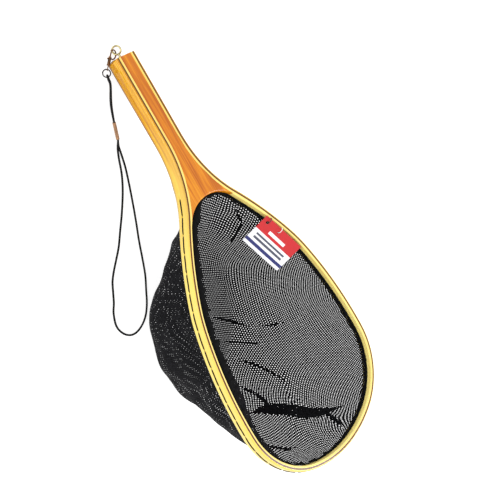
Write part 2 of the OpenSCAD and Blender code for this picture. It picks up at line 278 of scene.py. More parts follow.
def wood(name, dark, mid, light, fine, figure, seed, hoop=None):
    """Varnished wood, in three tones of grain. fine scales the grain, and figure is the streaks' strength.

    The attribute grain holds (along, across, depth) in metres, so the grain follows the bend. depth runs from 0 on
    the underside to 1 on top, near from 0 at the handle's end to 1 at the tip. hoop is (colour, share) there.
    """
    m = Mat(name)
    moved = m.node("ShaderNodeVectorMath", {0: m.attr("grain"), 1: (seed, seed * 0.37, seed * 0.11)}, operation="ADD")
    at = moved.outputs["Vector"]
    broad = m.noise(at, (7, 260 * fine, 190 * fine), 3, 0.55, 0.6)
    streak = m.noise(at, (26, 1300 * fine, 1000 * fine), 4, 0.6, 0.2)
    pores = m.noise(at, (90, 3800 * fine, 3000 * fine), 2)
    col = m.ramp(broad, [(0.30, srgb(dark)), (0.5, srgb(mid)), (0.72, srgb(light))])
    line = m.ramp(streak, [(0.36, (0.72, 0.60, 0.46)), (0.52, WHITE), (0.75, (1.0, 1.0, 0.97))])
    col = m.mix(figure, col, line, "MULTIPLY")
    pore = m.ramp(pores, [(0.30, (0.62, 0.45, 0.3)), (0.40, WHITE)])
    col = m.mix(0.35, col, pore, "MULTIPLY")
    # painted shade, multiplied into the colour: much darker towards the underside, where the wood turns into shadow,
    # and a little darker and browner at the very top
    under = [(0.0, (0.24, 0.15, 0.07)), (0.12, (0.34, 0.24, 0.13)), (0.19, (0.9, 0.86, 0.8)), (0.28, WHITE)]
    painted_shade = m.ramp(m.attr("depth", "Fac"), under + [(0.97, WHITE), (1.0, (0.86, 0.78, 0.62))])
    col = m.mix(1.0, col, painted_shade, "MULTIPLY")
    # towards the tip a second colour is mixed in; on the gold ply this paler tint is painted highlight
    if hoop:
        share = m.ramp(m.attr("near", "Fac"), [(0.12, (0, 0, 0)), (0.40, (hoop[1],) * 3)])
        col = m.mix(share, col, srgb(hoop[0]))
    m.bump(streak, 0.12, 0.0002)
    return m.set(Base_Color=col, Roughness=0.32, Coat_Weight=0.45, Coat_Roughness=0.07, Specular_IOR_Level=0.22)


def cloth(name, col, rough, sheen=0.0, scale=900.0, strength=0.4, specular=0.15):
    """Cloth or cord in one colour, with fine noise of the given scale and strength."""
    m = Mat(name)
    at = m.object_space()
    fine = m.noise(at, (scale,) * 3, 2, 0.6)
    broad = m.noise(at, (scale * 0.06,) * 3)
    dark, light = srgb([x * 0.6 for x in col]), srgb([min(255, x * 1.5 + 6) for x in col])
    tone = m.ramp(fine, [(0.3, dark), (0.7, light)])
    patches = m.ramp(broad, [(0.3, (0.75,) * 3), (0.7, (1.1,) * 3)])
    m.bump(fine, strength, 0.0004)
    tone = m.mix(0.8, tone, patches, "MULTIPLY")
    return m.set(Base_Color=tone, Roughness=rough, Sheen_Weight=sheen, Specular_IOR_Level=specular)


def metal(name, col, rough, wear, metallic=1.0):
    """Metal whose colour and roughness vary in patches. wear is how much darker the dark ones are."""
    m = Mat(name)
    at = m.object_space()
    patches = m.noise(at, (220,) * 3, 4, 0.6)
    tone = m.ramp(patches, [(0.35, srgb([x * (1 - wear) for x in col])), (0.65, srgb(col))])
    dull = m.ramp(patches, [(0.3, (rough * 0.7,) * 3), (0.7, (min(1, rough * 1.4),) * 3)])
    m.bump(m.noise(at, (1500,) * 3, 2), 0.08, 0.0001)
    return m.set(Base_Color=tone, Roughness=dull, Metallic=metallic)


def netting():
    """Near-black coated yarn."""
    m = Mat("netting_yarn")
    tone = m.ramp(m.noise(m.object_space(), (400,) * 3, 2), [(0.3, srgb((5, 5, 6))), (0.7, srgb((26, 26, 29)))])
    return m.set(Base_Color=tone, Roughness=0.7, Specular_IOR_Level=0.06)


def white_plastic():
    m = Mat("white_plastic")
    return m.set(
        Base_Color=srgb((238, 240, 242)), Roughness=0.3, Subsurface_Weight=0.2, Subsurface_Radius=(0.002,) * 3
    )


GOLD = (176, 110, 6), (212, 150, 16), (232, 186, 44)
CREAM = (244, 206, 96), (252, 226, 124), (255, 240, 160)
WALNUT = (84, 50, 2), (108, 70, 6), (130, 90, 14)
CHERRY = (176, 88, 4), (214, 130, 14), (240, 168, 34)
# painted highlight: along the hoop the gold ply is mixed towards a pale yellow
gold_wood = wood("ash_gold", *GOLD, 1.0, 0.6, seed=1.3, hoop=((234, 212, 104), 0.8))
cream_wood = wood("ash_cream", *CREAM, 1.2, 0.3, seed=2.7, hoop=((250, 232, 150), 0.4))
dark_wood = wood("walnut", *WALNUT, 1.2, 0.5, seed=4.1, hoop=((84, 26, 2), 0.92))
core_wood = wood("cherry", *CHERRY, 0.55, 0.6, seed=5.9)
net_mat = netting()
hem_mat = cloth("hem_cloth", (7, 7, 8), 0.8, specular=0.08)
lace_mat = cloth("lacing_yarn", (8, 7, 6), 0.6)
cord_mat = cloth("cord_braid", (2, 2, 3), 0.6, scale=1400, strength=0.6)
tie_mat = cloth("tie_yarn", (14, 14, 14), 0.6, sheen=0.25, specular=0.5)
eye_mat = metal("pale_brass", (206, 192, 140), 0.22, 0.35)
bronze_mat = metal("bronze", (132, 94, 62), 0.3, 0.4)
black_mat = metal("black_ring", (10, 10, 11), 0.35, 0.3, metallic=0.3)
ferrule_mat = metal("ferrule_metal", (176, 136, 104), 0.35, 0.3)
pin_mat = white_plastic()

# ------------------------------------------------------------------- camera
# fitted to the net's outline as the photo shows it
CAM_AT = np.array([-401.610, -552.108, 690.744])
CAM_RIGHT = Vector((0.24369066, 0.60809726, 0.75553463))
CAM_UP = Vector((-0.86453503, 0.48925435, -0.11493201))
HALF_VIEW = math.radians(17.5)
cam_data = bpy.data.cameras.new("camera")
cam_data.sensor_width = 36.0
cam_data.lens = cam_data.sensor_width / 2 / math.tan(HALF_VIEW)
cam_data.clip_start, cam_data.clip_end = 0.01, 50
cam = bpy.data.objects.new("camera", cam_data)
bpy.context.scene.collection.objects.link(cam)
rot = Matrix((CAM_RIGHT, CAM_UP, CAM_RIGHT.cross(CAM_UP))).transposed()
cam.matrix_world = Matrix.Translation(Vector(CAM_AT * MM)) @ rot.to_4x4()
bpy.context.scene.camera = cam

# ------------------------------------------------------------------ lanyard
CORD_D = 2.4
BEND = np.array([20.4, -22.16, 5.29])  # middle of the cord's bend over the ring
BEND_R = 4.85
BEND_OUT = np.array([-0.290, -0.541, 0.790])  # across the bend, and back towards the ferrule
BEND_IN = np.array([0.957, -0.188, 0.222])
PAIR = np.array([0, -0.64, 0.84])  # from one strand to the other, where the cord is doubled
PAIR_MID = np.array([46, -28.1, 0])
FERRULE_A = np.array([64.7, -31.9, 2.95])
FERRULE_B = np.array([84.5, -34.6, 2.95])
LYING = CORD_D / 2 + 0.05  # the cord's height on the floor
STEP_UP = 0.9  # how much higher the left strand comes to the ferrule
RIGHT_STRAND = [
    (92, -35.3), (100.4, -35.4), (117.5, -36), (136.3, -38.6), (159.1, -42.5), (180, -46.6), (204.5, -52),
    (222, -55), (244.7, -59.5), (262.6, -65.6), (277.6, -71), (289.5, -78), (297.5, -87.6), (300.9, -98.7),
    (298.2, -108.6),
]
LEFT_STRAND = [
    (289.3, -117), (276.6, -121.2), (261.2, -118.6), (250.7, -113.5), (239, -109.4), (227, -105), (217, -98.5),
    (206.5, -90), (194.7, -80.8), (180, -72.1), (162.4, -61.6), (141.3, -50.8), (122.6, -44), (104, -40.4), (93, -38),
]
# from inside the ferrule up to the ring, back through the ferrule, round the wrist loop and into the ferrule again
ferrule_mid = (FERRULE_A + FERRULE_B) / 2
upper = PAIR * (CORD_D / 2 + 0.02)
leg_out, leg_in = BEND_OUT * 4.5, BEND_IN * 6  # where the bend's two legs start
turn = np.radians(np.arange(0, 181, 22.5))
route = [ferrule_mid + [-1, 0, 0] + upper, FERRULE_A + upper]
route += [PAIR_MID + [0, 0, 3.5] + upper * 1.6, BEND + leg_out + leg_in]
route += [BEND + BEND_R * (math.cos(a) * BEND_OUT - math.sin(a) * BEND_IN) for a in turn]
route += [BEND - leg_out + leg_in, PAIR_MID + [0, 0, 2.75] - upper * 1.5]
route += [FERRULE_A - upper, ferrule_mid - upper, FERRULE_B - upper]
route += [np.array([x, y, LYING]) for x, y in RIGHT_STRAND]
route += [np.array([x, y, LYING + (STEP_UP if x < 100 else 0)]) for x, y in LEFT_STRAND]
route += [FERRULE_B + upper, ferrule_mid + [1, 0, 0] + upper]
cord_line = catmull(route, 6) + SHIFT
pts, faces, uv = tube(cord_line, CORD_D / 2, 12)
cord = put("lanyard", pts, faces, "lanyard", cord_mat, {"along": uv}, replaces=["lanyard_cord"])

# --------------------------------------------------------------------- wood
CORNER_R = 3.0  # of the handle's end in plan
END_EDGE = 0.7  # rounding of the end's front and back edges
END_ZONE = 9.0  # the length over which the end's rounding fades
SEAM = 1.3  # a line of points this far from the middle ply's middle holds the seam flat
FLAT_END = 8.0  # the first stretch of the handle, with finer steps


def end_warp(x, half_y, z, w):
    """Rounds the handle end in plan and softens its front and back edges. half_y is |y|, w the half width there."""
    c = np.clip(half_y - (w - CORNER_R), 0, CORNER_R)
    back = CORNER_R - np.sqrt(np.maximum(CORNER_R**2 - c**2, 0))
    for edge in (0.0, -DEPTH):
        dz = np.clip(END_EDGE - np.abs(z - edge), 0, END_EDGE)
        back = back + END_EDGE - np.sqrt(np.maximum(END_EDGE * END_EDGE - dz * dz, 0))
    return np.where(x < END_ZONE, back + x * (END_ZONE - back) / END_ZONE, x)


def quarter(cx, cz, r, a0, a1, n=8):
    """Points (o, z) of an arc in a section, angles in degrees."""
    a = np.radians(np.linspace(a0, a1, n))
    return list(np.stack([cx + r * np.cos(a), cz + r * np.sin(a)], 1))


def ply(name, section, mat, replaces):
    """Sweeps a section round the frame.

    section(s) gives the ring of (o, z) points at arc length s from the nearer handle end. o is the distance outwards
    from the middle ply's middle.
    """
    s = np.concatenate([np.linspace(0, FLAT_END, 9)[:-1], np.arange(FLAT_END, TIP_S, 2.6)])
    s = np.concatenate([s, [TIP_S], 2 * TIP_S - s[::-1]])
    pos, nrm = around(s)
    near = np.minimum(s, 2 * TIP_S - s)
    rings = np.array([section(d) for d in near])
    n, k = rings.shape[:2]
    o, z = rings[:, :, 0], rings[:, :, 1]
    p = np.zeros((n, k, 3))
    p[:, :, :2] = pos[:, None] + nrm[:, None] * rings[:, :, :1]
    p[:, :, 2] = z
    p[:, :, 0] = end_warp(p[:, :, 0], np.abs(p[:, :, 1]), z, HALF_GRIP + T_OUT)
    attrs = {
        "grain": np.stack([np.broadcast_to(s[:, None], (n, k)), o, z], -1).reshape(-1, 3) * MM,
        "near": np.repeat(near / TIP_S, k),
        "depth": 1 + z.ravel() / DEPTH,
    }
    put(name, lay(p.reshape(-1, 3)), swept_faces(n, k), "frame", mat, attrs, replaces=replaces)


ROUND = 2.1  # rounding of the outer ply's edges
CROWN = 0.28  # how much its outer face swells
GROOVE_W, GROOVE_D = 2.4, 1.25


def outer_face(z):
    """How far out the swollen face lies at height z."""
    return T_OUT - CROWN * ((z - MID_Z) / (DEPTH / 2 - ROUND)) ** 2


def outer_section(s):
    """The outer ply, with the lacing's groove from GROOVE_FROM on."""
    g = GROOVE_D * float(smooth01((s - GROOVE_FROM) / 2.2))
    corner = quarter(T_OUT - CROWN - ROUND, -ROUND, ROUND, 90, 8)
    zs = np.linspace(-ROUND - 0.6, MID_Z + GROOVE_W / 2 + 0.25, 5)
    half_turn = np.linspace(0, math.pi, 9)
    ring = [(DARK, 0.0), (SEAM, 0.0)] + corner
    ring += [(outer_face(z), z) for z in zs]
    ring += [(T_OUT - g * math.sin(t) ** 0.6, MID_Z + GROOVE_W / 2 * math.cos(t)) for t in half_turn]
    ring += [(outer_face(z), 2 * MID_Z - z) for z in zs[::-1]]
    ring += [(x, 2 * MID_Z - z) for x, z in corner[::-1]]
    return ring + [(SEAM, -DEPTH), (DARK, -DEPTH)]


def middle_section(s):
    """The thin middle ply, the same all round."""
    top = [(-DARK, 0.0), (0.0, 0.0), (DARK, 0.0)]
    return top + [(DARK, MID_Z), (DARK, -DEPTH), (0.0, -DEPTH), (-DARK, -DEPTH), (-DARK, MID_Z)]


def inner_section(s):
    """The inner ply. Its inner edges are square as far as the core reaches, and round in the mouth."""
    r = 0.02 + 2.0 * float(smooth01((s - MEET_S + 1) / 12))
    ring = [(-DARK, -DEPTH), (-SEAM, -DEPTH)]
    ring += quarter(-T_OUT + r, -DEPTH + r, r, 270, 180)
    ring += [(-T_OUT, z) for z in np.linspace(-DEPTH + r, -r, 7)[1:-1]]
    ring += quarter(-T_OUT + r, -r, r, 180, 90)
    return ring + [(-SEAM, 0.0), (-DARK, 0.0)]


ply("ply_outer", outer_section, gold_wood, ["outer_ply"])
ply("ply_middle", middle_section, dark_wood, ["middle_ply"])
ply("ply_inner", inner_section, cream_wood, ["inner_ply"])


def core():
    """The handle's core, from the rounded end to the throat's hollow arch, as profiles side by side."""
    pos, nrm = around(np.linspace(0, 215, 431))
    edge = pos - nrm * T_OUT
    inside_arch = np.hypot(edge[:, 0] - ARCH_X, edge[:, 1]) - ARCH_R < 0
    meet = edge[int(np.argmax(inside_arch))]
    half_arch = math.atan2(meet[1], ARCH_X - meet[0])
    quarter_turn = np.linspace(0, math.pi / 2, 7)
    rows, grains = [], []
    n_rows, edge_r = 33, 2.4
    for t in np.linspace(-1, 1, n_rows):
        length = ARCH_X - ARCH_R * math.cos(t * half_arch)
        half_width = np.interp(length, edge[:, 0], edge[:, 1])
        t_end = np.clip(ARCH_R * math.sin(t * half_arch) / max(half_width, 1e-6), -1, 1)
        r = edge_r * float(smooth01((1 - abs(t)) / 0.08)) + 0.02
        xs = np.concatenate([np.linspace(0, FLAT_END, 7)[:-1], np.linspace(FLAT_END, length - r, 70)])
        prof = [(x, 0.0) for x in xs]
        prof += [(length - r + r * math.sin(a), -r + r * math.cos(a)) for a in quarter_turn[1:]]
        prof += [(length, z) for z in np.linspace(-r, -DEPTH + r, 6)[1:-1]]
        prof += [(length - r + r * math.cos(a), -DEPTH + r - r * math.sin(a)) for a in quarter_turn]
        prof += [(x, -DEPTH) for x in xs[::-1][1:]]
        prof += [(0.0, z) for z in np.linspace(-DEPTH, 0, 9)[1:-1]]
        px, pz = np.array(prof).T
        across = t + (t_end - t) * smooth01((px / length - 0.45) / 0.55)
        y = across * np.interp(px, edge[:, 0], edge[:, 1])
        rows.append(np.stack([end_warp(px, np.abs(y), pz, HALF_GRIP + T_OUT), y, pz], 1))
        grains.append(np.stack([px, y, pz], 1))
    p = np.concatenate(rows)
    attrs = {"grain": np.concatenate(grains) * MM, "depth": 1 + p[:, 2] / DEPTH}
    faces = swept_faces(n_rows, len(rows[0]))
    put("core", lay(p), faces, "frame", core_wood, attrs, replaces=["handle_core"])


core()


# ---------------------------------------------------------------------- bag
def mouth(g, n):
    """The hoop's mouth as n points at even distances, from the middle of the throat's arch. Also its length.

    g is the gap to the wood's inner face.
    """
    s = np.linspace(150, TIP_S, 700)
    pos, nrm = around(s)
    edge = pos - nrm * (T_OUT + g)
    pos, nrm = around([MEET_S])
    meet = (pos - nrm * (T_OUT + g))[0]
    r = math.hypot(meet[0] - ARCH_X, meet[1])
    a = np.linspace(0, math.atan2(meet[1], ARCH_X - meet[0]), 60)
    arch = np.stack([ARCH_X - r * np.cos(a), r * np.sin(a)], 1)
    half = np.concatenate([arch, edge[s > MEET_S]])
    loop = np.concatenate([half, half[::-1][1:-1] * [1, -1], half[:1]])
    d = steps_along(loop)
    return at_steps(np.linspace(0, d[-1], n, endpoint=False), d, loop), d[-1]


RIM_MID_X = 353.7
PATCH_C = np.array([357.0, -13.0])  # middle of the patch that lies on the floor, and its reach to each side
PATCH_BACK, PATCH_TIP, PATCH_SIDE = 70.0, 74.0, 66.0
CELL, YARN = 3.0, 2.0  # the netting's cell and its yarns' width
STRETCH = 0.82  # flat length over length on the wall
FLOOR_GAP = 0.6  # the lowest height of the netting's middle


def patch_r(c, s):
    """The patch's radius in the direction with cosine c and sine s: an oval with fuller corners."""
    m = np.where(c < 0, 2.5, 2.13)
    return ((np.abs(c) / np.where(c < 0, PATCH_BACK, PATCH_TIP)) ** m + (np.abs(s) / PATCH_SIDE) ** m) ** (-1 / m)


# the wall: from each of N_U points of the rim, a Bezier curve of N_V points down to the patch on the floor
N_U, N_V = 480, 110
rim2, rim_len = mouth(1.0, N_U)
rim = lay(np.concatenate([rim2, np.full((N_U, 1), MID_Z - 0.8)], 1)) - SHIFT
down = np.array([math.sin(LEAN), 0, -math.cos(LEAN)])
ang = np.arctan2(rim[:, 1], rim[:, 0] - RIM_MID_X)
ca, sa = np.cos(ang), np.sin(ang)
pr = patch_r(ca, sa)
outw = np.stack([ca * pr, sa * pr, np.zeros(N_U)], 1)
foot = np.append(PATCH_C, 0) + outw
outw = unit_rows(outw)
high = rim[:, 2:3]
ca, sa = ca[:, None], sa[:, None]
fall = down * (0.34 + 0.02 * ca - 0.26 * np.maximum(-sa, 0))
leave = rim + fall * high + outw * (-0.03 + 0.22 * np.minimum(ca, 0)) * high
arrive = foot + outw * (0.2 - 0.28 * ca) * high
tv = np.linspace(0, 1, N_V)
q = 1 - tv
wall = (q**3)[None, :, None] * rim[:, None] + (3 * q * q * tv)[None, :, None] * leave[:, None]
wall = wall + (3 * q * tv * tv)[None, :, None] * arrive[:, None] + (tv**3)[None, :, None] * foot[:, None]
# how far the near side's wall bulges out, by direction in degrees
BULGE_AT = [-180, -160, -140, -120, -100, -80, -60, -40, -20, 0]
BULGE = [8, 14, 11, 3, 0, -3, 3, 12, 10, 0]


def even(lines):
    """Each line of points again, at even steps. Also the lines' lengths."""
    out, long = np.empty_like(lines), []
    for i, line in enumerate(lines):
        d = steps_along(line)
        out[i] = at_steps(np.linspace(0, d[-1], len(line)), d, line)
        long.append(d[-1])
    return out, np.array(long)


bulge = np.interp(np.degrees(ang), BULGE_AT, BULGE) * (np.sin(ang) < 0)
wall = wall + outw[:, None] * (bulge[:, None] * np.sin(np.pi * tv[None, :] ** 0.85) ** 1.2)[..., None]
wall, slant = even(wall)

# slack netting on the near side turns in over itself before it falls
LOBE_DROP = 9.0  # how much lower than the rim the lobe ends
LOBE_N = 30  # points of the lobe
th = np.linspace(0, 2 * math.pi, N_U, endpoint=False)
n_pleat = round(rim_len / LACE_PITCH)
rx, near_y = rim2[:, 0], -rim2[:, 1]
slack = between(rx, 160, 30, 430, 70) * smooth01((near_y - 14) / 30)
lobe = slack * (10.0 + 9.0 * smooth01((rx - 220) / 120) - 8.0 * smooth01((rx - 370) / 70))
lobe = lobe + slack * 0.9 * np.cos(n_pleat * th)
w = tv[None, :] * slant[:, None]
lt = np.linspace(0, 1, LOBE_N)
lines = []
for i in range(N_U):
    drop = LOBE_DROP * slack[i]
    turn = rim[i] - outw[i] * (lobe[i] * np.sin(math.pi * lt) ** 0.8)[:, None] + down * (drop * lt)[:, None]
    rest = wall[i] + down * (drop * (1 - smooth01(w[i] / 60)))[:, None]
    full = np.concatenate([turn[:-1], rest])
    d = np.concatenate([[0], np.cumsum(np.linalg.norm(np.diff(full, axis=0), axis=1) + 1e-9)])
    lines.append(at_steps(np.linspace(0, d[-1], N_V), d, full))
wall, slant = even(np.array(lines))
w = tv[None, :] * slant[:, None]

# soft waves all over, and short pleats where the netting is gathered on the hem
rng = np.random.default_rng(7)
fold = np.zeros((N_U, N_V))
for n_w, amp in ((5, 1.5), (8, 1.3), (13, 1.0)):
    ph, tw = rng.uniform(0, 2 * math.pi), rng.uniform(-1.2, 1.2)
    fold += amp * np.sin(n_w * th[:, None] + ph + tw * tv[None, :] * 3)
for n_w, k_w, amp in ((4, 2.2, 1.2), (7, 3.4, 0.8), (3, 4.6, 0.7)):
    ph, ph2 = rng.uniform(0, 2 * math.pi, 2)
    fold += amp * np.sin(n_w * th[:, None] + ph) * np.sin(2 * math.pi * k_w * tv[None, :] + ph2)
fold *= (smooth01(tv / 0.3) * (1 - 0.9 * smooth01((tv - 0.85) / 0.15)))[None, :]
pleat = 1.1 * np.cos(n_pleat * th) + 0.5 * np.cos(2.37 * n_pleat * th + 1.1)
fold += pleat[:, None] * np.exp(-w / 16) * smooth01(tv / 0.03)[None, :] * 1.3
nr = unit_rows(np.cross(np.roll(wall, -1, 0) - np.roll(wall, 1, 0), np.gradient(wall, axis=1)))
if (nr[:, N_V // 2] * outw).sum() < 0:
    nr = -nr
surface = wall + nr * ((fold - 0.8) * smooth01(w / 5))[..., None]


def sample(grid, u, v):
    """Bilinear points of a grid that wraps in u. Both u and v count cells of the grid."""
    n, m = grid.shape[:2]
    i = np.floor(u).astype(int)
    j = np.clip(np.floor(v).astype(int), 0, m - 2)
    fu, fv = (u - i)[:, None], np.clip(v - j, 0, 1)[:, None]
    i0, i1 = i % n, (i + 1) % n
    low = grid[i0, j] * (1 - fu) * (1 - fv) + grid[i1, j] * fu * (1 - fv)
    return low + grid[i0, j + 1] * (1 - fu) * fv + grid[i1, j + 1] * fu * fv


# the directions of the rim's points in rising order, with one more at each end, and the points' numbers
order = np.argsort(ang)
ang_s = np.concatenate([ang[order][-1:] - 2 * math.pi, ang[order], ang[order][:1] + 2 * math.pi])
idx_s = np.unwrap(np.concatenate([order[-1:], order, order[:1]]) * 2 * math.pi / N_U) * N_U / (2 * math.pi)
flat_edge = pr + STRETCH * slant


def place(flat, lift):
    """Where points of the flat netting lie on the bag, lift outside its surface."""
    r = np.hypot(flat[:, 0], flat[:, 1])
    u = np.interp(np.arctan2(flat[:, 1], flat[:, 0]), ang_s, idx_s) % N_U
    patch, long = sample(np.stack([pr, slant], 1)[:, None, :].repeat(2, 1), u, np.zeros(len(u))).T
    up = (r - patch) / (STRETCH * long)
    v = np.clip(1 - up, 0, 1) * (N_V - 1)
    k = smooth01((up + 0.02) / 0.04)[:, None]
    on_floor = np.stack([PATCH_C[0] + flat[:, 0], PATCH_C[1] + flat[:, 1], np.full(len(r), FLOOR_GAP + 0.1)], 1)
    normal = sample(nr, u, v) * k + np.array([0, 0, -1.0]) * (1 - k)
    p = sample(surface, u, v) * k + on_floor * (1 - k) + normal * lift.reshape(-1, 1)
    p[:, 2] = np.maximum(p[:, 2], FLOOR_GAP)
    return p


def rim_at(x, y):
    """Radius of the flat netting's edge in the direction of each point."""
    return np.interp(np.arctan2(y, x), ang_s, flat_edge[idx_s.round().astype(int) % N_U])


# folds: across each line the flat netting lies in three layers. Rows: half width taken up, height, points
FOLDS = [
    (4.2, 2.0, [(-3, 29), (25, 61), (44, 83)]),
    (3.2, 1.5, [(40, 85), (44, 101), (43, 120)]),
    (3.8, 1.5, [(42, 36), (58, 61), (70, 83)]),
    (3.8, 1.5, [(70, 39), (99, 58), (134, 72)]),
    (8.5, 3.0, [(99, 9), (118, 13), (134, 11), (150, 8)]),
    (30.0, 6.0, [(130, -36), (143, -12), (159, 8), (177, 26), (191, 50), (201, 86)]),
    (8.0, 3.0, [(186, 54), (208, 46), (230, 28)]),
    (8.0, 2.5, [(138, -90), (174, -75), (193, -50)]),
    (4.0, 2.0, [(-168, 43), (-146, 57)]),
    (4.0, 2.0, [(-157, 57), (-106, 59)]),
]
FOLD_SHARE = 0.5  # half width of the folded stack over half width taken up
FOLD_REACH = 85.0  # how far off netting still moves to feed a fold


def pinch(flat):
    """Folds the flat netting across each line, and says how high each point then stands."""
    p = flat.copy()
    lift = np.zeros(len(p))
    for take, high, line in FOLDS:
        line = catmull(line, 4)
        seg = np.linalg.norm(np.diff(line, axis=0), axis=1)
        run = 0.0
        reach = min(5.0 * take, FOLD_REACH)
        best = np.full(len(p), 1e9)
        push, rise = np.zeros_like(p), np.zeros(len(p))
        calm = smooth01((rim_at(p[:, 0], p[:, 1]) - np.hypot(p[:, 0], p[:, 1]) - 3) / 14)
        for start, end, long in zip(line[:-1], line[1:], seg):
            ax = (end - start) / long
            rel = p - start
            t = np.clip(rel @ ax, 0, long)
            off = rel - t[:, None] * ax
            d = np.linalg.norm(off, axis=1)
            side = np.where(ax[0] * off[:, 1] - ax[1] * off[:, 0] < 0, -1.0, 1.0)
            taper = np.sin(np.pi * np.clip((run + t) / seg.sum(), 0.0, 1.0)) ** (0.8 + take / 30)
            wide = np.maximum(take * taper * calm, 1e-6)
            stack = FOLD_SHARE * wide
            part = side * d / wide
            layer = np.interp(part, [-1, -1 / 3, 1 / 3, 1], [-1, 1, -1, 1]) * stack
            past = side * (stack + (reach - stack) / (reach - wide) * (d - wide))
            to = np.where(d < wide, layer, np.where(d < reach, past, side * d))
            slope = np.where(side > 0, 1 - smooth01((d - wide) / (1.2 * take)), 0.0)
            up = np.where(d < wide, (part + 1) / 2, slope)
            sel = d < best
            move = off * ((to / np.where(d < 1e-6, 1e-6, side * d) - 1)[:, None])
            push[sel] = move[sel]
            rise[sel] = (up * high * taper * calm)[sel]
            best = np.minimum(best, d)
            run += long
        p = p + push
        lift = np.maximum(lift, rise)
    return p, lift


def honeycomb(reach):
    """Flat hexagonal netting within reach: points, quads, and 1 for each point on a yarn's middle, else 0."""
    rad, row_h = 1 / math.sqrt(3), math.sqrt(3) / 2
    hole = 1 - YARN / CELL
    turns = [math.radians(30 + 60 * k) for k in range(6)]
    corner = [(rad * math.cos(a), rad * math.sin(a)) for a in turns]
    verts, mid, index, faces = [], [], {}, []
    n = int(reach / CELL / row_h) + 1
    for r in range(-n, n + 1):
        for c in range(-n, n + 1):
            cx, cy = c + 0.5 * (r % 2), r * row_h
            far = math.hypot(cx, cy) * CELL
            if far > reach or far >= float(rim_at(cx * CELL, cy * CELL)) + 1.0:
                continue
            ring = []
            for dx, dy in corner:
                x, y = cx + dx, cy + dy
                key = (round(x * 2), round(y * 6 / math.sqrt(3)))
                if key not in index:
                    index[key] = len(verts)
                    verts.append((x * CELL, y * CELL))
                    mid.append(1.0)
                ring.append(index[key])
            base = len(verts)
            verts += [((cx + dx * hole) * CELL, (cy + dy * hole) * CELL) for dx, dy in corner]
            mid += [0.0] * 6
            faces += [(ring[k], ring[(k + 1) % 6], base + (k + 1) % 6, base + k) for k in range(6)]
    return np.array(verts), faces, np.array(mid)


flat_v, flat_f, yarn_mid = honeycomb(float(flat_edge.max()))
beyond = np.hypot(flat_v[:, 0], flat_v[:, 1]) > rim_at(flat_v[:, 0], flat_v[:, 1])
flat_f = [f for f in flat_f if not all(beyond[i] for i in f)]
bent, lift = pinch(flat_v)
net_v = place(bent, -lift + 0.12 * (1 - 2 * yarn_mid)) + SHIFT
used, renumbered = np.unique(np.array(flat_f), return_inverse=True)
net_f = renumbered.reshape(-1, 4)
net = put("net", net_v[used], net_f, "frame", net_mat, sharp=0, replaces=["net_bag"])

# hem: the gathered edge of the netting, which the lacing holds against the inner ply
HEM_N, HEM_K = 1100, 18  # points along it and round it
hem2, hem_len = mouth(0.2, HEM_N)
inw = unit_rows(mouth(1.2, HEM_N)[0] - hem2)
hx, near_y = hem2[:, 0], -hem2[:, 1]
# where it is wide and slack, where it lies on the arch, where it rolls over, and where it is plain
left = between(hx, 175, 60, 395, 90) * smooth01((near_y - 12) / 40)
left = np.maximum(left, 0.8 * (1 - smooth01((hx - 240) / 60)) * smooth01((near_y - 6) / 24))
arch = 1 - smooth01((hx - 172) / 26)
roll = between(hx, 152, 24, 330, 90) * smooth01((near_y - 4) / 20)
right = np.maximum(1 - left - roll - arch, 0)
HEM_WOBBLES = ((41, 0.3), (67, 0.3), (113, 0.25), (197, 0.2), (331, 0.14))  # turns round the hem, height
share = np.linspace(0, 1, HEM_N, endpoint=False)
bunch = 0.5 - 0.5 * np.cos(2 * math.pi * share * round(hem_len / LACE_PITCH))
wob = sum(a * np.sin(2 * math.pi * f * share + rng.uniform(0, 6.28)) for f, a in HEM_WOBBLES)
wide = 0.9 + 2.1 * bunch + 0.7 * wob + left * (3.6 + 1.2 * wob) + 2.0 * arch + roll * (6.5 + 1.2 * wob)
middle = MID_Z - 1.4 - 1.0 * left + 3.0 * arch + 4.0 * roll + 1.0 * right
high = 1.7 + 0.7 * bunch + 0.4 * wob + 2.6 * left + 1.6 * arch + 0.8 * roll + 0.8 * right
rows = []
for k in range(HEM_K):
    a = 2 * math.pi * k / HEM_K
    rib = np.sin(2 * math.pi * share * (151 + 7 * (k % 4)) + k * 1.7)
    o = wide * 0.5 * (1 + math.cos(a)) + 0.22 * rib * (1 + left)
    z = middle + high * math.sin(a) + 0.2 * rib
    rows.append(np.concatenate([hem2 + inw * np.maximum(o, 0)[:, None], z[:, None]], 1))
hem_v = lay(np.stack(rows, 1).reshape(-1, 3))
hem_f = grid_faces(HEM_N, HEM_K, wrap_u=True, wrap_v=True, flip=True)
put("hem", hem_v, hem_f, "frame", hem_mat, replaces=["rim_binding"])

# ------------------------------------------------------------------- lacing
LACE_N = 21  # runs on each side, LACE_PITCH apart
LACE_R = 1.2
LACE_RUN = LACE_PITCH - 1.0
LACE_DIP = 2.4  # how far each end goes down into its hole
laces_v, laces_f = [], []
off = 0
t = np.linspace(0, 1, 26)
for side in (-1, 1):
    for k in range(1, LACE_N + 1):
        pos, nrm = around(TIP_S - k * LACE_PITCH + 0.5 + t * LACE_RUN)
        o = T_OUT - GROOVE_D + 0.85 - LACE_DIP * (1 - smooth01(np.minimum(t, 1 - t) * LACE_RUN / 1.8))
        z = MID_Z + 0.18 * np.sin(t * math.pi * 2 + k)
        line = np.concatenate([pos + nrm * o[:, None], z[:, None]], 1) * [1, side, 1]
        run_v, run_f, _ = tube(lay(line), LACE_R, 8)
        laces_v.append(run_v)
        laces_f += [[i + off for i in f] for f in run_f]
        off += len(run_v)
put("lacing", np.concatenate(laces_v), laces_f, "frame", lace_mat, replaces=["lacing_cord"])

